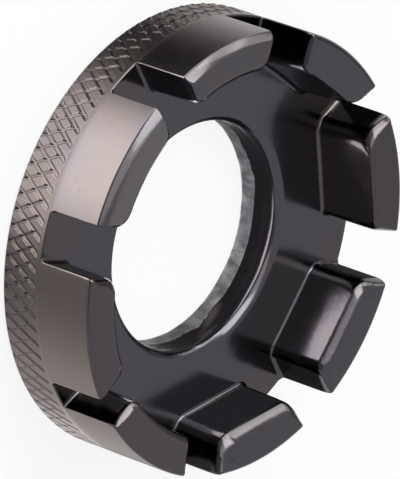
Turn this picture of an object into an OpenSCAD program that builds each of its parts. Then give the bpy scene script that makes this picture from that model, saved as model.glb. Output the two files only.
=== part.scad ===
// Round spoke wrench: a single steel forging with eight nipple slots between eight upright lugs.
// It lies on its back face, with the origin at the centre of that face and the lugs along +Z.
// Each region of the forging is a node of its own, and the regions meet face to face.
// Slots are numbered anticlockwise as seen from the front, and slot 1 points along +X.
// Lug 1 stands between slots 1 and 2, lug 2 between slots 2 and 3, and so on round the rim.

/* [Forging] */
// Diameter over the knurled rim and the lugs
outer_d = 50; // [46:0.5:60]
// Height from the back face to the tops of the lugs
total_h = 13; // [11:0.1:16]
// Thickness of the web plate and the rim, and so the height of the slot floors
web_t = 5.4; // [4:0.1:7]
// Radial thickness of the lugs, and so the length of the slots
lug_wall = 4.7; // [3.5:0.1:6]
// Chamfer on the back edge of the rim
back_chamfer = 0.3; // [0.1:0.05:0.8]

/* [Centre hole] */
// Radial width of the web plate, from the smooth part of the hole to the lugs
web_w = 7.3; // [4:0.1:10]
// Height of the torn part at the back, where the punch broke through
tear_h = 1.8; // [0.5:0.1:2.5]
// How much wider than the smooth part the torn part is at the back face
tear_growth = 0.2; // [0.1:0.1:1.6]
// Radius rolled over at the front edge of the hole
lip_r = 0.75; // [0.2:0.05:1.2]

/* [Nipple slots] */
// Width of slot 1, towards +X
slot_1_w = 6.4; // [3:0.1:8]
// Width of slot 2
slot_2_w = 4.7; // [3:0.1:8]
// Width of slot 3, towards +Y
slot_3_w = 5.6; // [3:0.1:8]
// Width of slot 4
slot_4_w = 4; // [3:0.1:8]
// Width of slot 5, towards -X
slot_5_w = 5.5; // [3:0.1:8]
// Width of slot 6
slot_6_w = 4.9; // [3:0.1:8]
// Width of slot 7, towards -Y
slot_7_w = 5.5; // [3:0.1:8]
// Width of slot 8
slot_8_w = 4.5; // [3:0.1:8]

/* [Lug edges] */
// Rounding of the top edge that faces outwards
outer_edge_r = 0.8; // [0.2:0.05:1.4]
// Rounding of the top edge that faces the centre
inner_edge_r = 1.1; // [0.2:0.05:1.4]
// Rounding of the top edges along the slots
flank_edge_r = 1.1; // [0.2:0.05:1.4]
// Rounding of the upright edges between the slots and the inside of the ring
corner_r = 1; // [0.3:0.05:1.4]
// Fillet at the foot of the lugs, along the inside of the ring
inner_root_r = 0.8; // [0.2:0.05:1.2]
// Fillet at the foot of the lugs, along the slot floors
flank_root_r = 0.7; // [0.2:0.05:1.2]

/* [Hidden] */
slot_widths = [slot_1_w, slot_2_w, slot_3_w, slot_4_w, slot_5_w, slot_6_w, slot_7_w, slot_8_w];
slot_count = len(slot_widths);
slot_pitch = 360 / slot_count;
$fn = 144;

outer_r = outer_d / 2;
lug_inner_r = outer_r - lug_wall;
lug_h = total_h - web_t;
hole_r = lug_inner_r - web_w;
hole_back_r = hole_r + tear_growth / 2;
// How far every cut runs past the face it opens
overrun = 1;
// Step that a rounding keeps where it runs out: along the slots and up the lugs' corners,
// and a little more round the inside of the ring, so that no two steps lie in one plane
step_t = 0.05;
inner_step_t = 0.08;

// Flat shape that rounds a corner at the origin, of a body that lies towards +X and -Y
module edge_cut(r) {
    difference() {
        translate([-overrun, -r]) square([r + overrun, r + overrun]);
        translate([r, -r]) circle(r);
    }
}

// Plate inside the ring of lugs, with the punched hole: torn and wider at the back,
// smooth through the middle and rolled over at the front
module web_plate() {
    color("#47474c")
        rotate_extrude()
            difference() {
                polygon([
                    [hole_back_r, 0],
                    [lug_inner_r, 0],
                    [lug_inner_r, web_t],
                    [hole_r, web_t],
                    [hole_r, tear_h]
                ]);
                translate([hole_r, web_t]) edge_cut(lip_r);
            }
}

// Ring under the lugs, whose outside is the knurled grip
module knurled_rim() {
    color("#6f6b69")
        rotate_extrude()
            polygon([
                [lug_inner_r, 0],
                [outer_r - back_chamfer, 0],
                [outer_r, back_chamfer],
                [outer_r, web_t],
                [lug_inner_r, web_t]
            ]);
}

// Section of the open space beside a wall at the origin: it lies towards -X, over a floor
// at the origin's height, and leaves a fillet where the wall stands on the floor
module space_section(w, root_r, root_step_t) {
    root_w = root_r + root_step_t;
    translate([-w, -overrun]) square([w - root_w, lug_h + 2 * overrun]);
    translate([-w, root_w]) square([w, lug_h]);
    translate([-root_w, root_w]) circle(root_r);
}

// Section of the ring of lugs: its two top edges rounded, and its foot filleted inside
module lug_section() {
    difference() {
        translate([hole_r, web_t]) square([outer_r - hole_r, lug_h]);
        translate([lug_inner_r, web_t]) space_section(lug_inner_r, inner_root_r, inner_step_t);
        translate([lug_inner_r, total_h]) edge_cut(inner_edge_r);
        translate([outer_r, total_h]) mirror([1, 0]) edge_cut(outer_edge_r);
    }
}

// Half of a slot's section, from past its centre line to the flank, with the flank's top edge
module half_slot_section(slot_w) {
    translate([slot_w / 2, web_t]) space_section(overrun + slot_w / 2, flank_root_r, step_t);
    translate([slot_w / 2, total_h]) edge_cut(flank_edge_r);
}

// Plan of the cut that rounds the upright edge between a flank and the inside of the ring.
// A circle that touches the flank and the inner cylinder fixes where its centre lies.
module corner_plan(slot_w) {
    centre_r = lug_inner_r + corner_r;
    centre_y = slot_w / 2 + corner_r;
    centre_x = sqrt(centre_r ^ 2 - centre_y ^ 2);
    clear_share = (lug_inner_r - overrun) / centre_r;
    clear_y = slot_w / 2 - overrun;
    difference() {
        polygon([
            [centre_x, centre_y],
            [centre_x, clear_y],
            [centre_x * clear_share, clear_y],
            [centre_x * clear_share, centre_y * clear_share]
        ]);
        translate([centre_x, centre_y]) circle(corner_r - step_t);
    }
}

// What the slot along +X takes from the lug on its +Y side.
// The upright rounding starts just over the taller of the two root fillets.
module flank_cut(slot_w) {
    rotate([90, 0, 90]) linear_extrude(outer_r + overrun) half_slot_section(slot_w);
    translate([0, 0, web_t + max(inner_root_r, flank_root_r) + inner_step_t + step_t])
        linear_extrude(lug_h) corner_plan(slot_w);
}

// Lug n: one step of the turned ring, less its share of the slot on either side
module lug(n) {
    start_angle = (n - 1) * slot_pitch;
    end_angle = n * slot_pitch;
    color("#575350")
        difference() {
            rotate([0, 0, start_angle]) rotate_extrude(angle = slot_pitch) lug_section();
            rotate([0, 0, start_angle]) flank_cut(slot_widths[n - 1]);
            rotate([0, 0, end_angle]) mirror([0, 1, 0]) flank_cut(slot_widths[n % slot_count]);
        }
}

web_plate();
knurled_rim();
for (n = [1:slot_count])
    lug(n);
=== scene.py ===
import math

import bpy
import numpy as np
from mathutils import Matrix, Vector


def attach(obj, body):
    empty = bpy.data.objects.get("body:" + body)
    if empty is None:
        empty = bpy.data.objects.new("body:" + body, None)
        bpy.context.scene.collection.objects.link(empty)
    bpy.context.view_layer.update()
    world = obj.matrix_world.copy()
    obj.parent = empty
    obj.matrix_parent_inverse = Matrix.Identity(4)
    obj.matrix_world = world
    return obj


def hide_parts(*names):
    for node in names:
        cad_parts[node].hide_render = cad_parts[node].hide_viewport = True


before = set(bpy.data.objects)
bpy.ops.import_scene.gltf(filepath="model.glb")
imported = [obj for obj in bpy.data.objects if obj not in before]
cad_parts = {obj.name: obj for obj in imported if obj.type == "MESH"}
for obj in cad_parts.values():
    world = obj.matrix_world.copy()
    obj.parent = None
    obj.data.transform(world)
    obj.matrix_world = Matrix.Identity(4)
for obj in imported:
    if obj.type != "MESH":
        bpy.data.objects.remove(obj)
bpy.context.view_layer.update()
print("frame loaded:", ", ".join(sorted(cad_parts)))

mm = 0.001
sharpAngle = math.radians(50)  # faces that meet at more than this keep a hard line between them
slotWidths = [6.4, 4.7, 5.6, 4.0, 5.5, 4.9, 5.5, 4.5]  # slot 1 points along +X, then anticlockwise
slotPitch = math.radians(45)
noiseRows = 64  # how many rows of random numbers a table of noise has before it repeats
bodySizes = {
    "outerR": 25.0,
    "lugInnerR": 20.3,
    "holeR": 13.0,
    "webT": 5.4,
    "totalH": 13.0,
}


# Value noise: a lattice of random numbers, read with smooth weights and wrapped round the ring,
# so that it closes on itself in the first direction.
def wrapNoise(along, across, cells, seed):
    table = np.random.default_rng(seed).uniform(-1, 1, (cells, noiseRows))
    a = np.mod(along, 1.0) * cells
    b = np.mod(across, float(noiseRows))
    i, j = np.floor(a).astype(int), np.floor(b).astype(int)
    fa, fb = a - i, b - j
    fa, fb = fa * fa * (3 - 2 * fa), fb * fb * (3 - 2 * fb)
    i0, i1, j0, j1 = i % cells, (i + 1) % cells, j % noiseRows, (j + 1) % noiseRows
    low = table[i0, j0] * (1 - fa) + table[i1, j0] * fa
    high = table[i0, j1] * (1 - fa) + table[i1, j1] * fa
    return low * (1 - fb) + high * fb


# 0 up to low, 1 from high on, and a smooth S between
def smoothStep(low, high, x):
    t = np.clip((x - low) / (high - low), 0, 1)
    return t * t * (3 - 2 * t)


# A grid of points, rows by columns, becomes quads. Columns always close on themselves. Rows
# close too for a ring, and end in one flat face at each end for a post. marks holds a number for
# each point under each name, which the material reads.
def gridPiece(name, points, closeRows, marks):
    rows, cols = points.shape[:2]
    index = np.arange(rows * cols).reshape(rows, cols)
    across = np.roll(index, -1, axis=1)
    if closeRows:
        up, upAcross = np.roll(index, -1, axis=0), np.roll(across, -1, axis=0)
        faces = np.stack([index, across, upAcross, up], -1).reshape(-1, 4).tolist()
    else:
        quads = np.stack([index[:-1], across[:-1], across[1:], index[1:]], -1).reshape(-1, 4)
        faces = quads.tolist() + [index[0, ::-1].tolist(), index[-1].tolist()]
    mesh = bpy.data.meshes.new(name)
    mesh.from_pydata((points.reshape(-1, 3) * mm).tolist(), [], faces)
    for key, values in marks.items():
        layer = mesh.attributes.new(key, "FLOAT", "POINT")
        layer.data.foreach_set("value", np.ascontiguousarray(values, np.float32).ravel())
    mesh.polygons.foreach_set("use_smooth", np.ones(len(mesh.polygons), bool))
    mesh.update()
    mesh.set_sharp_from_angle(angle=sharpAngle)
    piece = bpy.data.objects.new(name, mesh)
    bpy.context.scene.collection.objects.link(piece)
    return piece


webLook = {
    "columns": 750,
    "tearH": 1.85,  # height of the torn band at the back of the hole
    "tearR": 12.96,
    "tearRough": 0.035,
    "tearLines": 0.018,
    "raggedAt": (214, 40, 118, 310),  # directions in degrees where the tear's front edge is ragged
    "raggedSpread": 15,
    "tearWave": 0.05,  # how far that edge wanders everywhere
    "raggedH": (0.34, 0.16),  # and how far, coarse and fine, where it is ragged
    "tornShadeAt": 207,  # direction in degrees where painted shade darkens the torn band
    "tornShadeSpread": 40,
    "backEdgeR": 0.12,
    "stepH": 0.08,  # height over which the tear's front edge meets the smooth band
    "dent": (0.02, 3.7, 0.35),  # depth, height and spread of a shallow ring in the smooth band
    "plainWave": 0.010,
    "lipWave": 0.03,
    "lipFootOut": 0.02,
    "lipW": 0.66,
    "lipH": 0.62,
    "lipBulge": 0.05,
    "lipEdgeR": 0.14,
    "browW": (0.16, 0.5),  # rings of points just past the lip, and on the front and the back
    "frontRings": (15.5, 17.5, 19.0),
    "backRings": (17.0, 14.6),
    "backInset": 0.5,
    "backEdgeRows": 4,
    "tearRows": 30,
    "stepRows": 3,
    "plainRows": 14,
    "lipRows": 13,
}


# The section runs round in (radius, height) and is turned about the axis. The torn band is pushed
# in and out by noise, and so is the height at which it gives way to the smooth band. In front of
# that the hole opens out over a slightly bulged chamfer, whose two edges are rounded. torn marks
# where the plating is torn off, and a second mark where painted shade darkens the bare metal.
def makeWebPlate(look):
    turn = np.arange(look["columns"]) / look["columns"]
    angle = (turn * 2 * math.pi)[None, :]
    holeR, webT, outR = bodySizes["holeR"], bodySizes["webT"], bodySizes["lugInnerR"]
    ragged = np.zeros_like(turn)
    for degrees in look["raggedAt"]:
        off = np.degrees(np.angle(np.exp(1j * (turn * 2 * math.pi - math.radians(degrees)))))
        ragged = np.maximum(ragged, np.exp(-((off / look["raggedSpread"]) ** 2)))
    coarseH, fineH = look["raggedH"]
    tearTop = look["tearH"] + look["tearWave"] * wrapNoise(turn, 0, 22, 4) + ragged * (
        coarseH * wrapNoise(turn, 5, 44, 5) + fineH * wrapNoise(turn, 9, 150, 9))
    share = np.linspace(0, 1, look["tearRows"])[:, None]
    tearZ = look["backEdgeR"] + share * (tearTop[None, :] - look["backEdgeR"])
    coarse = wrapNoise(turn[None, :] + 0.012 * tearZ, tearZ * 0.9, 50, 6)
    lines = wrapNoise(turn[None, :] + 0.02 * tearZ, tearZ * 5.5, 36, 7)
    fine = wrapNoise(turn[None, :] + 0.006 * tearZ, tearZ * 4.0, 300, 10)
    tearR = look["tearR"] + look["tearRough"] * (coarse + 0.35 * fine) + look["tearLines"] * lines
    blend = smoothStep(0.5, 1.0, share) * (1 - 0.8 * np.minimum(ragged, 1))[None, :]
    tearR = tearR + (holeR - tearR) * blend
    stepShare = np.linspace(0, 1, look["stepRows"] + 1)[1:, None]
    stepR = tearR[-1:] + (holeR - tearR[-1:]) * stepShare
    stepZ = tearTop[None, :] + look["stepH"] * stepShare
    lipFoot = webT - look["lipH"]
    plainShare = np.linspace(0, 1, look["plainRows"] + 2)[1:-1, None]
    plainZ = stepZ[-1:] + plainShare * (lipFoot - look["lipEdgeR"] - stepZ[-1:])
    dentR, dentAt, dentSpread = look["dent"]
    dent = dentR * np.exp(-(((plainZ - dentAt) / dentSpread) ** 2))
    plainR = holeR + dent + look["plainWave"] * wrapNoise(turn[None, :], plainZ * 0.5, 40, 8)
    lipShare = np.linspace(0, 1, look["lipRows"])[:, None] + 0 * angle
    slope = math.hypot(look["lipW"], look["lipH"])
    bulge = look["lipBulge"] * np.sin(math.pi * lipShare) / slope
    wave = look["lipWave"] * wrapNoise(turn[None, :], lipShare * 0.3, 30, 12)
    lipOut = lipShare + wave * np.sin(math.pi * lipShare)
    lipR = holeR + look["lipW"] * lipOut - bulge * look["lipH"]
    lipZ = lipFoot + look["lipH"] * lipShare + bulge * look["lipW"]
    footR = holeR + look["lipFootOut"] + 0 * angle
    footZ = lipFoot - look["lipEdgeR"] + 0 * angle
    brows = [holeR + look["lipW"] + width for width in look["browW"]]
    topR = np.array([*brows, *look["frontRings"], outR])[:, None] + 0 * angle
    topZ = 0 * topR + webT
    backR = np.array([outR, *look["backRings"], holeR + look["backInset"]])[:, None] + 0 * angle
    backZ = 0 * backR
    edgeAngle = np.linspace(0, math.pi / 2, look["backEdgeRows"] + 1)[:-1, None]
    edgeR = tearR[:1] + look["backEdgeR"] * (1 - np.sin(edgeAngle))
    edgeZ = look["backEdgeR"] * (1 - np.cos(edgeAngle)) + 0 * angle
    radius = np.vstack([backR, edgeR, tearR, stepR, plainR, footR, lipR[1:-1], topR])
    height = np.vstack([backZ, edgeZ, tearZ, stepZ, plainZ, footZ, lipZ[1:-1], topZ])
    torn = np.vstack([0 * backR, 0 * edgeR + 1, 0 * tearR + 1, 0 * stepR + 0.3,
                      0 * plainR, 0 * footR, 0 * lipR[1:-1], 0 * topR])
    points = np.stack([radius * np.cos(angle), radius * np.sin(angle), height], -1)
    # painted shade on the torn band, strongest round one direction
    off = np.degrees(np.angle(np.exp(1j * (angle - math.radians(look["tornShadeAt"])))))
    tornShade = np.exp(-((off / look["tornShadeSpread"]) ** 2)) + 0 * radius
    return gridPiece("webPlate", points[:, ::-1], True, {
        "torn": torn[:, ::-1], "tornShade": tornShade[:, ::-1]})


knurlLook = {
    "columns": 1800,
    # two families of grooves: the first leans to the right going up, the second to the left
    "rise": {"count": 90, "phase": 0.12, "lean": 0.62, "width": 0.92, "depth": 0.21, "top": 5.0,
             "flatW": 0.12, "seed": 21},
    "fall": {"count": 91, "phase": 0, "lean": -0.56, "width": 0.62, "depth": 0.17, "top": 4.1,
             "flatW": 0.05, "seed": 22},
    "topWave": 0.12,  # how unevenly they end
    "endW": 0.45,  # how far a groove takes to run out at its upper end
    "crossing": 0.60,  # how much of a falling groove shows in the bottom of a rising one
    "ridgeH": 0.03,  # metal pushed up beside a groove
    "ridgeW": 0.10,
    # directions in degrees from which the knurl was pressed more lightly, and by what share
    "light": [(104, 0.50), (132, 0.22)],
    "lightTo": 196,
    "lightOver": 20,
    "uneven": 0.10,
    "backShare": 0.35,  # how deep the grooves are at the back edge, and where they gain their depth
    "backFade": (0.0, 0.7),
    "frontFade": (0.5, 0.1),  # how far under the front they run out, if they get that far
    "chamfer": 0.3,
    "leastEdgeR": 0.015,  # rounding of the front edge under the lugs, and what a slot adds
    "slotEdgeR": 0.20,
    "slotSoft": 0.25,
    "brimW": 0.6,  # rings of points on the front and the back
    "middleR": 23.0,
    "chamferRows": 4,
    "wallRows": 38,
    "lastShares": (0.997, 1.0),  # two close rows keep the front edge crisp
    "turnRows": 5,
}


# 1 inside a slot, 0 under a lug, with soft sides
def slotShare(angle, soft):
    share = np.zeros_like(angle)
    for n, width in enumerate(slotWidths):
        off = np.angle(np.exp(1j * (angle - n * slotPitch))) * bodySizes["outerR"]
        share = np.maximum(share, 1 - smoothStep(width / 2 - soft, width / 2, np.abs(off)))
    return share


# How hard the knurl was pressed: 1, less where the wheel ran light, and a little uneven all round
def pressed(angle, look):
    degrees = np.degrees(np.mod(angle, 2 * math.pi))
    over = look["lightOver"]
    light = sum(share * smoothStep(start, start + over, degrees) for start, share in look["light"])
    light = light * (1 - smoothStep(look["lightTo"], look["lightTo"] + over, degrees))
    return 1 - light + look["uneven"] * wrapNoise(degrees / 360, 0, 23, 24)


# One family of grooves: lines that climb by a fixed lean round the rim, each a trough with a flat
# bottom and smooth sides, and a rounded upper end. A light press makes it narrower and shallower.
# Gives the depth, and the distance from the nearest line.
def grooves(around, z, family, press, look):
    count, width = family["count"], family["width"]
    pitch = 2 * math.pi * bodySizes["outerR"] / count
    place = (around - family["lean"] * z) / pitch - family["phase"]
    line = np.round(place)
    off = (place - line) * pitch
    top = family["top"] + look["topWave"] * wrapNoise(line / count, 0, 41, family["seed"])
    over = np.maximum(z - (top - look["endW"]), 0) / look["endW"]
    wide = np.clip(0.35 + 0.65 * press, 0.4, 1.1)
    reach = np.hypot(off, over * width / 2) / wide
    trough = 1 - smoothStep(family["flatW"] / 2 * press, width / 2, reach)
    return trough * family["depth"] * press, reach


# The deeper family stays whole where two grooves cross, and beside a groove the metal stands up
# by a narrow bell. Both families fade out towards the back edge.
def knurlDepth(angle, z, look):
    around = angle * bodySizes["outerR"]
    press = pressed(angle, look)
    rise, riseReach = grooves(around, z, look["rise"], press, look)
    fall, fallReach = grooves(around, z, look["fall"], press, look)
    beside = np.minimum(np.abs(riseReach - look["rise"]["width"] / 2),
                        np.abs(fallReach - look["fall"]["width"] / 2))
    whole = (1 - look["crossing"]) * np.clip(rise / look["rise"]["depth"], 0, 1)
    cut = rise + fall * (1 - whole)
    ridge = np.exp(-((beside / look["ridgeW"]) ** 2)) * (1 - smoothStep(0.0, 0.06, cut))
    shallow = look["backShare"] + (1 - look["backShare"]) * smoothStep(*look["backFade"], z)
    return (cut + look["ridgeH"] * (1 - ridge * press.clip(0, 1))) * shallow


# The section runs round in (radius, height): the outside is pushed in by the grooves, and the
# front edge is rounded only where a slot opens over it. groove marks how deep the knurl is.
def makeKnurledRim(look):
    angle = (np.arange(look["columns"]) / look["columns"] * 2 * math.pi)[None, :]
    outerR, webT = bodySizes["outerR"], bodySizes["webT"]
    innerR = bodySizes["lugInnerR"]
    edge = look["leastEdgeR"] + look["slotEdgeR"] * slotShare(angle, look["slotSoft"])
    chamfer = look["chamfer"]
    chamferShare = np.linspace(0, 1, look["chamferRows"])[:, None]
    chamferR = outerR - chamfer * (1 - chamferShare)
    chamferZ = chamfer * chamferShare + 0 * angle
    evenShare = np.linspace(0, 1, look["wallRows"] + 2)[1:-1]
    wallShare = np.append(evenShare, look["lastShares"])[:, None]
    wallZ = chamfer + wallShare * (webT - edge - chamfer)
    fadeFrom, fadeTo = look["frontFade"]
    cut = knurlDepth(angle, wallZ, look) * (1 - smoothStep(webT - fadeFrom, webT - fadeTo, wallZ))
    wallR = outerR - cut
    lowCut = knurlDepth(angle, chamferZ, look)
    chamferR = chamferR - np.maximum(lowCut - chamfer * (1 - chamferShare), 0)
    turnAngle = np.linspace(0, math.pi / 2, look["turnRows"] + 1)[1:, None]
    turnR = outerR - edge * (1 - np.cos(turnAngle))
    turnZ = webT - edge * (1 - np.sin(turnAngle))
    topR = np.array([outerR - look["brimW"], look["middleR"], innerR])[:, None] + 0 * angle
    topZ = 0 * topR + webT
    backR = topR[::-1]
    backZ = 0 * backR
    radius = np.vstack([backR, chamferR, wallR, turnR, topR])
    height = np.vstack([backZ, chamferZ, wallZ, turnZ, topZ])
    groove = np.vstack([0 * backR, lowCut, cut, 0 * turnR, 0 * topR]) / look["rise"]["depth"]
    points = np.stack([radius * np.cos(angle), radius * np.sin(angle), height], -1)
    return gridPiece("knurledRim", points, True, {"groove": groove})


lugLook = {
    "rootR": 0.45,
    "innerDraft": math.radians(2.5),
    "outerCornerR": 0.14,
    "outerCornerGrow": 0.08,  # what the corners gain at the top, over this height
    "cornerGrowH": 3.0,
    "cornerMinR": 0.12,
    "cornerMost": 0.92,  # both corners of a flank fit in this share of the wall
    "cornerShare": 0.20,  # what is left of a flank's top rounding at the outside of the rim
    "taperL": 3.6,  # and how far in it is whole
    "topInset": 0.12,  # flat ring round the top face
    "flatPivot": 0.6,  # where, between middle and end, a flattened face keeps its place
    "flatFade": (1.0, 1.0),  # how far from the inside and the outside the shift begins and ends
    "waveCells": 70,
    "waveStretch": 0.35,
    "waveDown": (4.5, 0.8),  # how far under the top the waves start to grow, and are whole
    "nickCells": 260,
    "nickStretch": 3.5,
    "nickDown": (1.4, 0.7),
    "wearCrest": 0.45,  # wear along the top rounding, and on the upright edges
    "wearUpright": 0.9,
    "topToneDown": (0.35, 0.05),  # how far under the top its own tone begins, and is whole
    "slotShadeUp": (0.25, 0.6),  # over what height at the root the painted shade of the slots begins
    "slotShadeDown": (1.5, 0.7),  # and how far under the top it ends
    "arcColumns": 90,
    "flankColumns": 26,
    "cornerColumns": 12,
    "rootRows": 12,
    "wallRows": 16,
    "edgeRows": 16,
}


# How the lugs differ, lug 1 first. outer, inner and flanks are the top edges: how far in and how
# far down each is rounded, and what share of it is a plain bevel, if any. corners are the inner
# corner radii at the first slot and at the second, and grow is what they gain at the top. flat
# turns the inner face from an arc (0) into a plane (1), waves and nicks roughen it near the top,
# tint makes the plating warmer, and the top tone makes the top face lighter or, below 0, darker.
lugShapes = [
    {"outer": (0.95, 0.85, 0.80), "inner": (1.3, 1.2), "flanks": [(0.6, 0.6), (0.6, 0.6)],
     "corners": (1.0, 1.0), "grow": (0.4, 0.3), "flat": 0.0, "waves": 0.006, "nicks": 0.01,
     "tint": 0.40, "topTone": 0.12},
    {"outer": (1.35, 0.95, 0.70), "inner": (1.2, 1.2), "flanks": [(0.8, 0.8), (0.8, 0.8)],
     "corners": (1.0, 1.8), "grow": (0.4, 0.2), "flat": 0.0, "waves": 0.006, "nicks": 0.01,
     "tint": 0.45, "topTone": 0.60},
    {"outer": (1.1, 0.7), "inner": (1.0, 1.0), "flanks": [(1.15, 1.15), (1.15, 1.15)],
     "corners": (1.6, 1.1), "grow": (0.3, 0.3), "flat": 0.0, "waves": 0.006, "nicks": 0.01,
     "tint": 0.75, "topTone": 0.0},
    {"outer": (0.6, 0.45), "inner": (0.9, 0.9), "flanks": [(1.6, 1.3), (1.15, 1.15)],
     "corners": (1.2, 1.0), "grow": (0.3, 0.2), "flat": 0.2, "waves": 0.008, "nicks": 0.01,
     "tint": 1.00, "topTone": 0.0},
    {"outer": (0.8, 0.6), "inner": (1.6, 1.35, 0.55), "flanks": [(2.0, 1.6), (1.15, 1.15)],
     "corners": (1.5, 0.9), "grow": (0.5, 0.3), "flat": 1.0, "waves": 0.006, "nicks": 0.01,
     "tint": 0.35, "topTone": 0.0},
    {"outer": (0.7, 0.5), "inner": (1.15, 1.0, 0.50), "flanks": [(1.15, 1.15), (2.0, 1.6)],
     "corners": (1.2, 1.7), "grow": (0.3, 0.6), "flat": 0.9, "waves": 0.010, "nicks": 0.030,
     "tint": 0.40, "topTone": 0.0},
    {"outer": (0.7, 0.5), "inner": (0.5, 0.5), "flanks": [(1.15, 1.15), (2.0, 1.6)],
     "corners": (1.0, 1.5), "grow": (0.2, 0.6), "flat": 1.0, "waves": 0.030, "nicks": 0.02,
     "tint": 1.00, "topTone": -0.20},
    {"outer": (0.9, 0.6), "inner": (0.55, 0.5), "flanks": [(1.15, 1.15), (1.15, 1.15)],
     "corners": (2.2, 1.0), "grow": (0.4, 0.2), "flat": 0.7, "waves": 0.012, "nicks": 0.03,
     "tint": 0.05, "topTone": 0.0},
]


# Half of a lug's outline at one height, in the frame of the slot beside it, from the outer arc
# round the outer corner, in along the flank and round the inner corner. Each corner is the circle
# that touches the flank's line and the arc. Where the top edge is rounded, the flank draws in less
# near the outside of the rim than further in, along a parabola, so the outer corner's centre is
# found in three steps. Arguments are columns, one row for each height.
def halfOutline(halfW, drawn, outerR, innerR, outerCorner, innerCorner, look):
    def drawnAt(x):
        left = 1 - np.clip((bodySizes["outerR"] - x) / look["taperL"], 0, 1)
        return drawn * (1 - (1 - look["cornerShare"]) * left**2)

    outX = outerR - outerCorner
    for _ in range(3):
        outY = halfW + drawnAt(outX) + outerCorner
        outX = np.sqrt((outerR - outerCorner) ** 2 - outY**2)
    inY = halfW + drawn + innerCorner
    inX = np.sqrt((innerR + innerCorner) ** 2 - inY**2)
    outTurn = np.arctan2(outY, outX)
    inTurn = np.arctan2(inY, inX)
    share = np.linspace(0, 1, look["cornerColumns"])[None, :]
    outSweep = outTurn + share * (-math.pi / 2 - outTurn)
    inSweep = -math.pi / 2 + share * (inTurn - math.pi / 2)
    flankX = outX + np.linspace(0, 1, look["flankColumns"] + 2)[None, 1:-1] * (inX - outX)
    x = np.hstack([outX + outerCorner * np.cos(outSweep), flankX,
                   inX + innerCorner * np.cos(inSweep)])
    y = np.hstack([outY + outerCorner * np.sin(outSweep), halfW + drawnAt(flankX),
                   inY + innerCorner * np.sin(inSweep)])
    return x, y, outTurn, inTurn


def turned(x, y, angle):
    return x * math.cos(angle) - y * math.sin(angle), x * math.sin(angle) + y * math.cos(angle)


# Marks the edges for wear: along the crest of the top rounding, and on the upright outer edges
# below it, fading to 0 on the faces.
def edgeMarks(z, count, start, radius, look):
    over = np.clip((z - start) / radius, 0, 1)[:, None]
    column = np.arange(count)[None, :]
    arc, corner = look["arcColumns"], look["cornerColumns"]
    upright = ((column >= arc) & (column < arc + corner)) | (column >= count - corner)
    crest = look["wearCrest"] * np.sin(math.pi * over**2) ** 2
    return np.maximum(crest, upright * look["wearUpright"] * (1 - smoothStep(0.1, 0.7, over)))


# Marks the two walls that face slots, for the painted shade on them, from 0 on the arcs to 1 on the
# flanks. It grows by a square round the outer corners and evenly round the inner ones, and fades
# out at the root and the top.
def slotShadeMarks(z, height, look):
    corner = np.linspace(0, 1, look["cornerColumns"])
    side = np.concatenate([corner**2, np.ones(look["flankColumns"]), corner[::-1]])
    arc = np.zeros(look["arcColumns"])
    across = np.concatenate([arc, side, arc, side[::-1]])[None, :]
    fadeFrom, fadeTo = look["slotShadeDown"]
    upwards = smoothStep(*look["slotShadeUp"], z) * (
        1 - smoothStep(height - fadeFrom, height - fadeTo, z))
    return across * upwards[:, None]


# Takes the inside of a lug from an arc towards a straight line. The line is the arc's radius over
# the cosine of the turn from the lug's middle, and the shift fades out across the lug's wall.
# Noise on top of that makes long waves along the face, and nicks in its top edge.
def flattened(x, y, z, n, look):
    shape = lugShapes[n - 1]
    middle = (n - 0.5) * slotPitch
    radius = np.hypot(x, y)
    turn = np.angle(np.exp(1j * (np.arctan2(y, x) - middle)))
    half = slotPitch / 2 - (slotWidths[n - 1] + slotWidths[n % 8]) / 4 / bodySizes["lugInnerR"]
    shift = bodySizes["lugInnerR"] * (math.cos(half * look["flatPivot"]) / np.cos(turn) - 1)
    fadeIn, fadeOut = look["flatFade"]
    fade = 1 - smoothStep(bodySizes["lugInnerR"] + fadeIn, bodySizes["outerR"] - fadeOut, radius)
    place = (turn + math.pi) / (2 * math.pi)
    height = bodySizes["totalH"] - bodySizes["webT"]
    waveTop, nickTop = (
        smoothStep(height - start, height - whole, z)
        for start, whole in (look["waveDown"], look["nickDown"]))
    wave = wrapNoise(place, look["waveStretch"] * z, look["waveCells"], 30 + n)
    nick = wrapNoise(place, look["nickStretch"] * z, look["nickCells"], 50 + n)
    roughened = shape["waves"] * (wave * (0.25 + 0.75 * waveTop)) + shape["nicks"] * (
        np.maximum(nick - 0.1, 0) * nickTop)
    share = 1 + (shape["flat"] * shift + roughened) * fade / radius
    return x * share, y * share


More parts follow.
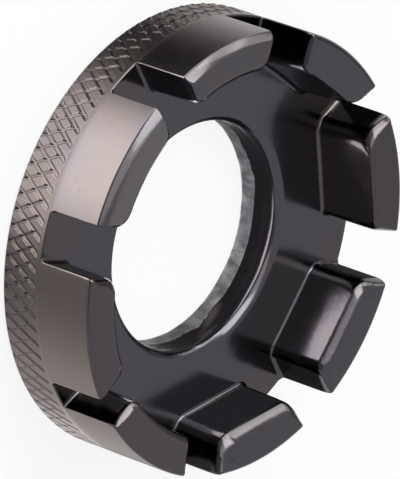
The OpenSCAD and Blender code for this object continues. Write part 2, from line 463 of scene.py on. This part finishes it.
# A lug is a stack of outlines. Going up, the outline first draws in along the root fillet, then
# stands straight, then draws in again over the top edges, each face by its own rounding. A
# rounding is a quarter of an ellipse, mixed with a straight bevel.
def makeLug(n, look):
    webT = bodySizes["webT"]
    topZ = bodySizes["totalH"] - webT
    rootR, shape = look["rootR"], lugShapes[n - 1]
    foot = np.linspace(0, math.pi / 2, look["rootRows"])
    topR = max(edge[1] for edge in (shape["outer"], shape["inner"], *shape["flanks"]))
    wallZ = np.linspace(rootR, topZ - topR, look["wallRows"] + 2)[1:-1]
    over = np.linspace(0, math.pi / 2, look["edgeRows"])
    edgeZ = topZ - topR * (1 - np.sin(over))
    z = np.concatenate([rootR * (1 - np.cos(foot)), wallZ, edgeZ, edgeZ[-1:]])
    out = np.zeros(len(z))
    out[:len(foot)] = rootR * (1 - np.sin(foot))
    inset = np.zeros(len(z))
    inset[-1] = look["topInset"]

    def drawnIn(width, depth, bevel=0.0):
        above = np.clip((z - (topZ - depth)) / depth, 0, 1)
        return width * ((1 - bevel) * (1 - np.sqrt(1 - above**2)) + bevel * above) + inset

    def asColumn(values):
        return np.asarray(values)[:, None]

    outerIn = drawnIn(*shape["outer"])
    innerIn = drawnIn(*shape["inner"]) + math.tan(look["innerDraft"]) * z
    outerR = asColumn(bodySizes["outerR"] - outerIn)
    innerR = asColumn(bodySizes["lugInnerR"] + innerIn - out)
    nearTop = smoothStep(topZ - look["cornerGrowH"], topZ, z)
    outerCorner = asColumn(np.maximum(look["outerCornerR"] - outerIn, look["cornerMinR"])
                           + look["outerCornerGrow"] * nearTop**2)
    most = (outerR - innerR) * look["cornerMost"] - outerCorner
    widths = (slotWidths[n - 1], slotWidths[n % 8])
    (startX, startY, startOut, startIn), (endX, endY, endOut, endIn) = (
        halfOutline(
            asColumn(width / 2 - out), asColumn(drawnIn(*flank)), outerR, innerR, outerCorner,
            np.clip(asColumn(radius + out + grow * nearTop), look["cornerMinR"], most), look)
        for width, flank, radius, grow in zip(
            widths, shape["flanks"], shape["corners"], shape["grow"]))
    startAngle, endAngle = (n - 1) * slotPitch, n * slotPitch
    startX, startY = turned(startX, startY, startAngle)
    endX, endY = turned(endX, -endY, endAngle)
    share = np.linspace(0, 1, look["arcColumns"] + 2)[None, 1:-1]
    front = startAngle + startOut + share * (slotPitch - startOut - endOut)
    back = endAngle - endIn + share * (startAngle + startIn - endAngle + endIn)
    x = np.hstack([outerR * np.cos(front), endX, innerR * np.cos(back), startX[:, ::-1]])
    y = np.hstack([outerR * np.sin(front), endY, innerR * np.sin(back), startY[:, ::-1]])
    x, y = flattened(x, y, asColumn(z), n, look)
    every = 0 * x  # carries one value, or one for each row, to all points
    topToneFrom, topToneTo = look["topToneDown"]
    return gridPiece("lug%d" % n, np.stack([x, y, asColumn(webT + z) + every], -1), False, {
        "edge": edgeMarks(z, x.shape[1], topZ - topR, topR, look),
        # slot carries the painted shade on the walls that face the slots
        "slot": slotShadeMarks(z, topZ, look),
        "tint": shape["tint"] + every,
        "topTone": shape["topTone"] * smoothStep(topZ - topToneFrom, topZ - topToneTo, asColumn(z)) + every,
    })


web = makeWebPlate(webLook)
rim = makeKnurledRim(knurlLook)
lugs = [makeLug(n, lugLook) for n in range(1, 9)]
pieces = [web, rim] + lugs
print("meshes made:", sum(len(piece.data.polygons) for piece in pieces), "faces")

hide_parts("web_plate")
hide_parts("knurled_rim")
for n, lug in enumerate(lugs, 1):
    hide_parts("lug_%d" % n)
for piece in pieces:
    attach(piece, "root")


# The camera's place, the three directions of its axes, and a long lens
cameraLook = {
    "place": (0.140310, 0.664310, 0.551950),
    "right": (0.200517, -0.647116, 0.735550),
    "up": (0.966350, 0.007164, -0.257132),
    "back": (0.161125, 0.762358, 0.626777),
    "lens": 603.36,
    "sensor": 36,
    "farEnd": 10,
}
camera = bpy.data.objects.new("camera", bpy.data.cameras.new("camera"))
camera.matrix_world = Matrix.Translation(Vector(cameraLook["place"])) @ Matrix(
    [cameraLook["right"], cameraLook["up"], cameraLook["back"]]).transposed().to_4x4()
camera.data.lens = cameraLook["lens"]
camera.data.sensor_width = cameraLook["sensor"]
camera.data.sensor_fit = "AUTO"
camera.data.clip_end = cameraLook["farEnd"]
bpy.context.scene.collection.objects.link(camera)
bpy.context.scene.camera = camera


# Wraps a socket, so that shader maths reads as plain expressions. node() adds any other node: its
# settings first, then the values or links of its sockets, and it gives one output back. mark()
# reads what a mesh's points carry under that name.
class Wire:
    def __init__(self, tree, socket=None):
        self.tree, self.socket = tree, socket

    def node(self, kind, settings=None, sockets=None, output=0):
        made = self.tree.nodes.new(kind)
        for key, value in (settings or {}).items():
            setattr(made, key, value)
        for key, value in (sockets or {}).items():
            if isinstance(value, Wire):
                self.tree.links.new(value.socket, made.inputs[key])
            else:
                made.inputs[key].default_value = value
        return Wire(self.tree, made.outputs[output]) if len(made.outputs) else None

    def maths(self, operation, first, second):
        return self.node("ShaderNodeMath", {"operation": operation}, {0: first, 1: second})

    def __add__(self, other):
        return self.maths("ADD", self, other)

    def __radd__(self, other):
        return self.maths("ADD", other, self)

    def __sub__(self, other):
        return self.maths("SUBTRACT", self, other)

    def __rsub__(self, other):
        return self.maths("SUBTRACT", other, self)

    def __mul__(self, other):
        return self.maths("MULTIPLY", self, other)

    def __rmul__(self, other):
        return self.maths("MULTIPLY", other, self)

    def between(self, low, high):
        return self.node("ShaderNodeMapRange", {"interpolation_type": "SMOOTHSTEP", "clamp": True},
                         {"Value": self, "From Min": low, "From Max": high})

    def noise(self, place, scale, detail, roughness=0.5, stretch=None):
        if stretch:
            place = self.node("ShaderNodeMapping", None, {"Vector": place, "Scale": stretch})
        return self.node("ShaderNodeTexNoise", None, {
            "Vector": place, "Scale": scale, "Detail": detail, "Roughness": roughness})

    def mark(self, name):
        return self.node("ShaderNodeAttribute", {"attribute_name": name}, None, "Fac")

    def colours(self, share, first, second):
        return self.node("ShaderNodeMix", {"data_type": "RGBA"}, {0: share, 6: first, 7: second}, 2)


def newMaterial(name):
    material = bpy.data.materials.new(name)
    material.use_nodes = True
    material.node_tree.nodes.clear()
    return material, Wire(material.node_tree)


# What the plating is like everywhere: dark nickel over forged steel
platingLook = {
    "warm": (0.154, 0.140, 0.134, 1),
    "cool": (0.143, 0.140, 0.149, 1),
    "thin": (0.33, 0.31, 0.28, 1),  # worn or thin plating, on edges
    "torn": (0.78, 0.77, 0.77, 1),
    "tornDark": (0.30, 0.30, 0.31, 1),
    # dark for pits, and painted shade on the knurl's groove sides and one side of the torn band; it
    # also darkens a lug's top
    "sootAndShade": (0.045, 0.043, 0.043, 1),
    "slotShadePaint": (0.012, 0.011, 0.012, 1),  # painted shade on the walls of the slots
    # how strongly each covers what is under it
    "pitShare": 0.5,
    "wornShare": 0.55,
    "slotShare": 0.9,
    "grooveShadeShare": 0.38,
    "dullShare": 0.5,
    "tornShadeShare": 0.62,
    "roughness": 0.15,
    "tornRoughness": 0.28,  # more than the plating's, and how much less metallic
    "tornDull": 0.45,
    # noises by their scale: broad clouds, patches, fine grain, pits and the mottle of torn metal
    "cloud": 130,
    "patch": 420,
    "grain": 2600,
    "pits": 5200,
    "mottle": 820,
    "mottleStretch": (1, 1, 0.6),
    "bumpStrength": 0.10,
    "bumpDepth": 0.00025,
}


# One plating for all pieces. Broad and fine noise shift it between warm and cool, set pits in it
# and uneven its gloss. What a piece's points carry adds the rest: lugs have worn edges, a top face
# of another tone and painted shade on the slot walls, the rim has painted shade on its groove
# sides, and the web has torn metal, darkened on one side by painted shade.
def platedMetal(name, look, piece, coolness):
    material, tree = newMaterial(name)
    place = tree.node("ShaderNodeTexCoord", None, None, "Object")
    cloud = tree.noise(place, look["cloud"], 2.0)
    patch = tree.noise(place, look["patch"], 4.0, 0.6)
    grain = tree.noise(place, look["grain"], 3.0, 0.6)
    pits = tree.noise(place, look["pits"], 2.0).between(0.66, 0.74)
    if piece == "lug":
        coolness = coolness - tree.mark("tint")
    tint = (cloud + patch * 0.35 + (coolness - 0.68)).between(0.30, 0.75)
    colour = tree.colours(tint, look["warm"], look["cool"])
    colour = tree.colours(pits * look["pitShare"], colour, look["sootAndShade"])
    rough = (look["roughness"] + (cloud - 0.5) * 0.05 + (patch - 0.5) * 0.10 + (grain - 0.5) * 0.06
             + pits * 0.12)
    height = patch * 0.55 + cloud * 0.9 + grain * 0.05 - pits * 0.06
    metallic = 1.0
    if piece == "lug":
        worn = (tree.mark("edge") * (0.35 + patch)).between(0.45, 0.95)
        colour = tree.colours(worn * look["wornShare"], colour, look["thin"])
        topTone = tree.mark("topTone")
        colour = tree.colours(tree.maths("MAXIMUM", topTone, 0.0), colour, look["thin"])
        colour = tree.colours(tree.maths("MAXIMUM", 0.0 - topTone, 0.0), colour, look["sootAndShade"])
        # painted shade on the walls of the slots
        colour = tree.colours(tree.mark("slot") * look["slotShare"], colour, look["slotShadePaint"])
        rough = rough + worn * 0.03
    if piece == "rim":
        groove = tree.mark("groove")
        # painted shade on the sides of the knurl's grooves
        side = groove.between(0.15, 0.45) * (1 - groove.between(0.60, 0.95))
        colour = tree.colours(side * look["grooveShadeShare"], colour, look["sootAndShade"])
        rough = rough + side * 0.08
    if piece == "web":
        torn = tree.mark("torn").between(0.35, 0.65)
        mottle = tree.noise(place, look["mottle"], 6.0, 0.70, look["mottleStretch"])
        flake = tree.colours(mottle.between(0.36, 0.64), look["tornDark"], look["torn"])
        flake = tree.colours(cloud.between(0.42, 0.62) * look["dullShare"], flake, look["tornDark"])
        # painted shade on one side of the torn band
        flake = tree.colours(tree.mark("tornShade") * look["tornShadeShare"], flake, look["sootAndShade"])
        colour = tree.colours(torn, colour, flake)
        rough = rough + torn * (look["tornRoughness"] + (mottle - 0.5) * 0.3)
        height = height + torn * mottle * 2.5
        metallic = 1 - torn * look["tornDull"]
    normal = tree.node("ShaderNodeBump", None, {
        "Strength": look["bumpStrength"], "Distance": look["bumpDepth"], "Height": height})
    shader = tree.node("ShaderNodeBsdfPrincipled", None, {
        "Metallic": metallic, "Base Color": colour, "Roughness": rough, "Normal": normal})
    tree.node("ShaderNodeOutputMaterial", None, {"Surface": shader})
    return material


web.data.materials.append(platedMetal("webPlating", platingLook, "web", 0.70))
rim.data.materials.append(platedMetal("knurlPlating", platingLook, "rim", 0.35))
lugPlating = platedMetal("lugPlating", platingLook, "lug", 0.95)
for lug in lugs:
    lug.data.materials.append(lugPlating)
print("materials made:", len(bpy.data.materials))

# Soft studio light: boxes at some distance, by azimuth, elevation, width and height in degrees,
# and how bright each looks, where 1 is white. The fill isn't mirrored. The sky is darker near the
# horizon and in two places, which are given by azimuth, elevation, and full and outer reach.
lightLook = {
    "distance": 0.6,
    "sky": 0.46,
    "skyTint": (0.97, 0.955, 1.07, 1),
    "horizon": 0.22,
    "horizonFrom": math.sin(math.radians(3)),
    "horizonTo": math.sin(math.radians(14)),
    "boxes": [
        ("boxFront", 12, 36, 36, 50, 2.5),
        ("boxLeft", -15, 16, 24, 32, 1.6),
        ("boxHigh", 40, 52, 64, 26, 0.75),
        ("boxSide", -34, 22, 22, 15, 1.0),
    ],
    "fill": ("boxFill", 78, 80, 90, 90, 0.55),
    "dark": [(-70, 13, 13, 24), (95, 14, 20, 46)],
}


def direction(azimuth, elevation):
    turn, lift = math.radians(azimuth), math.radians(elevation)
    return (math.cos(turn) * math.cos(lift), math.sin(turn) * math.cos(lift), math.sin(lift))


# A box looks as bright as its level when its energy is the level times pi times its area
def softBox(name, azimuth, elevation, width, height, level):
    out = Vector(direction(azimuth, elevation))
    distance = lightLook["distance"]
    data = bpy.data.lights.new(name, "AREA")
    data.shape = "RECTANGLE"
    data.size = 2 * distance * math.tan(math.radians(width) / 2)
    data.size_y = 2 * distance * math.tan(math.radians(height) / 2)
    data.energy = level * math.pi * data.size * data.size_y
    box = bpy.data.objects.new(name, data)
    turn = out.to_track_quat("Z", "Y").to_matrix().to_4x4()
    box.matrix_world = Matrix.Translation(out * distance) @ turn
    bpy.context.scene.collection.objects.link(box)
    return box


world = bpy.data.worlds.new("studio")
world.use_nodes = True
world.node_tree.nodes.clear()
tree = Wire(world.node_tree)
toward = tree.node("ShaderNodeTexCoord", None, None, "Generated")
height = tree.node("ShaderNodeVectorMath", {"operation": "DOT_PRODUCT"},
                   {0: toward, 1: (0, 0, 1)}, "Value")
level = height.between(lightLook["horizonFrom"], lightLook["horizonTo"])
for azimuth, elevation, inner, outer in lightLook["dark"]:
    near = tree.node("ShaderNodeVectorMath", {"operation": "DOT_PRODUCT"},
                     {0: toward, 1: direction(azimuth, elevation)}, "Value")
    level = level * (1 - near.between(math.cos(math.radians(outer)), math.cos(math.radians(inner))))
level = level * (lightLook["sky"] - lightLook["horizon"]) + lightLook["horizon"]
sky = tree.node("ShaderNodeBackground", None, {"Color": lightLook["skyTint"], "Strength": level})
tree.node("ShaderNodeOutputWorld", None, {"Surface": sky})
bpy.context.scene.world = world
bpy.context.scene.view_settings.view_transform = "Standard"
for box in lightLook["boxes"]:
    softBox(*box)
softBox(*lightLook["fill"]).visible_glossy = False

# The floor is pale, a hair under the back face. It shows nearly white to the camera and in the
# metal, and keeps the shadow.
floorLook = {"reach": 3.0, "drop": 0.00003, "colour": (0.9, 0.9, 0.9, 1), "whiteShare": 0.85}
floorMesh = bpy.data.meshes.new("floor")
reach = floorLook["reach"]
corners = [(-reach, -reach, 0), (reach, -reach, 0), (reach, reach, 0), (-reach, reach, 0)]
floorMesh.from_pydata(corners, [], [(0, 1, 2, 3)])
floor = bpy.data.objects.new("floor", floorMesh)
floor.location.z = -floorLook["drop"]
bpy.context.scene.collection.objects.link(floor)
floorPaint, tree = newMaterial("floorPaint")
seen = tree.node("ShaderNodeLightPath", None, None, "Is Camera Ray")
mirrored = tree.node("ShaderNodeLightPath", None, None, "Is Glossy Ray")
through = tree.node("ShaderNodeLightPath", None, None, "Is Transmission Ray")
share = (seen + mirrored + through).between(0.0, 1.0) * floorLook["whiteShare"]
paper = tree.node("ShaderNodeBsdfDiffuse", None, {"Color": floorLook["colour"]})
white = tree.node("ShaderNodeEmission", None, {"Color": (1, 1, 1, 1), "Strength": 1.0})
both = tree.node("ShaderNodeMixShader", None, {0: share, 1: paper, 2: white})
tree.node("ShaderNodeOutputMaterial", None, {"Surface": both})
floorMesh.materials.append(floorPaint)

# Cards that only the metal's gloss sees, flat on the floor. The apron fills what the rim and the
# outsides of the lugs mirror: it runs from the rim outwards along the mirrored line of sight, as a
# grid in direction and distance, and soft glows lie across it. The rings are plain sectors: dark
# ones for the shade inside the hole and behind, a light disc in the middle of the hole, and
# lighter ones further out. The spot is a soft light on the ring in the hole.
cardLook = {
    "viewTurn": 78.0,  # where the camera stands, in degrees round the axis
    "apron": (-8, 166),
    "apronColumns": 186,
    "apronRows": 25,
    "gap": 0.03,
    "reach": 20.0,
    "firstReach": 7.0,  # at the first end it is short, and doesn't lie across slot 8
    "fullFrom": (4, 9),
    "ringLift": 0.06,  # how high the cards lie
    "apronLift": 0.12,
    "spotLift": 0.18,
    "ground": 0.055,
    "leastGlow": 0.03,
    # direction, spread, level
    "glows": [(0, 21, 0.92), (70, 19.2, 3.75), (114, 22, 0.50), (140, 24, 0.72)],
    # the same, for what only the knurl mirrors, close to the rim
    "nearGlows": [(-6, 16, -0.45), (41, 9, 0.18), (70, 15, -1.35), (152, 13, 0.45)],
    "nearTo": (5.2, 7.2),
    "apronTint": (1.06, 0.985, 0.975, 1),
    # inner and outer radius, first and last direction, level
    "rings": [
        ("ringHole", 6.2, 12.85, 0, 360, 0.085),
        ("discHole", 0.1, 6.2, 0, 360, 2.6),
        ("ringBehindLeft", 25.15, 40, 190, 245, 0.14),
        ("ringBehindRight", 25.15, 40, 245, 338, 0.07),
        ("ringFarRight", 48, 130, -32, 8, 1.6),
        ("ringFarMiddle", 34, 130, 8, 64, 3.0),
        ("ringFarLeft", 43, 130, 96, 182, 0.45),
    ],
    "ringColumns": 97,
    "ringRows": 3,
    "ringTint": (1.04, 0.98, 1.06, 1),
    "spot": ("spotHole", 10.2, 11.8, 224, 238, 0.38),
    "spotColumns": 25,
    "spotRows": 13,
    "spotGround": 0.085,  # the same as the ring that it lies on
    "spotTint": (1.1, 1.0, 0.94, 1),
}


def cardPiece(name, x, y, lift, glow, colour):
    points = np.stack([x, y, 0 * x + lift], -1).reshape(-1, 3) * mm
    index = np.arange(x.size).reshape(x.shape)
    quads = np.stack([index[:-1, :-1], index[1:, :-1], index[1:, 1:], index[:-1, 1:]], -1)
    mesh = bpy.data.meshes.new(name)
    mesh.from_pydata(points.tolist(), [], quads.reshape(-1, 4).tolist())
    layer = mesh.attributes.new("glow", "FLOAT", "POINT")
    layer.data.foreach_set("value", np.ascontiguousarray(glow + 0 * x, np.float32).ravel())
    card = bpy.data.objects.new(name, mesh)
    bpy.context.scene.collection.objects.link(card)
    card.visible_camera = card.visible_diffuse = False
    card.visible_shadow = card.visible_transmission = False
    paint, tree = newMaterial(name + "Paint")
    glowing = tree.node("ShaderNodeEmission", None, {
        "Color": colour, "Strength": tree.mark("glow")})
    tree.node("ShaderNodeOutputMaterial", None, {"Surface": glowing})
    mesh.materials.append(paint)
    return card


def layApron(look):
    degrees = np.linspace(*look["apron"], look["apronColumns"])[None, :]
    turn = np.radians(degrees)
    whole = smoothStep(*look["fullFrom"], degrees)
    reach = look["firstReach"] + (look["reach"] - look["firstReach"]) * whole
    out = look["gap"] + (reach - look["gap"]) * np.linspace(0, 1, look["apronRows"])[:, None]
    line = 2 * turn - math.radians(look["viewTurn"])
    x = bodySizes["outerR"] * np.cos(turn) + out * np.cos(line)
    y = bodySizes["outerR"] * np.sin(turn) + out * np.sin(line)
    near = 1 - smoothStep(*look["nearTo"], out)
    glow = look["ground"] + 0 * x
    for glows, share in ((look["glows"], 1), (look["nearGlows"], near)):
        for middle, spread, level in glows:
            glow = glow + level * np.exp(-np.abs((degrees - middle) / spread) ** 3) * share
    glow = np.maximum(glow, look["leastGlow"])
    return cardPiece("apron", x, y, look["apronLift"], glow, look["apronTint"])


def layRing(name, innerR, outerR, start, end, level):
    turn = np.radians(np.linspace(start, end, cardLook["ringColumns"]))[None, :]
    radius = np.linspace(innerR, outerR, cardLook["ringRows"])[:, None]
    return cardPiece(name, radius * np.cos(turn), radius * np.sin(turn), cardLook["ringLift"],
                     level, cardLook["ringTint"])


# A spot is a small sector whose glow fades to the ground's level at its four sides
def laySpot(name, innerR, outerR, start, end, level):
    across = np.linspace(0, 1, cardLook["spotColumns"])[None, :]
    along = np.linspace(0, 1, cardLook["spotRows"])[:, None]
    turn = np.radians(start + (end - start) * across)
    radius = innerR + (outerR - innerR) * along
    glow = level * np.sin(math.pi * across) * np.sin(math.pi * along) + cardLook["spotGround"]
    return cardPiece(name, radius * np.cos(turn), radius * np.sin(turn), cardLook["spotLift"],
                     glow, cardLook["spotTint"])


layApron(cardLook)
laySpot(*cardLook["spot"])
for ring in cardLook["rings"]:
    layRing(*ring)
print("stage set:", len(bpy.data.lights), "boxes,", 2 + len(cardLook["rings"]), "cards")
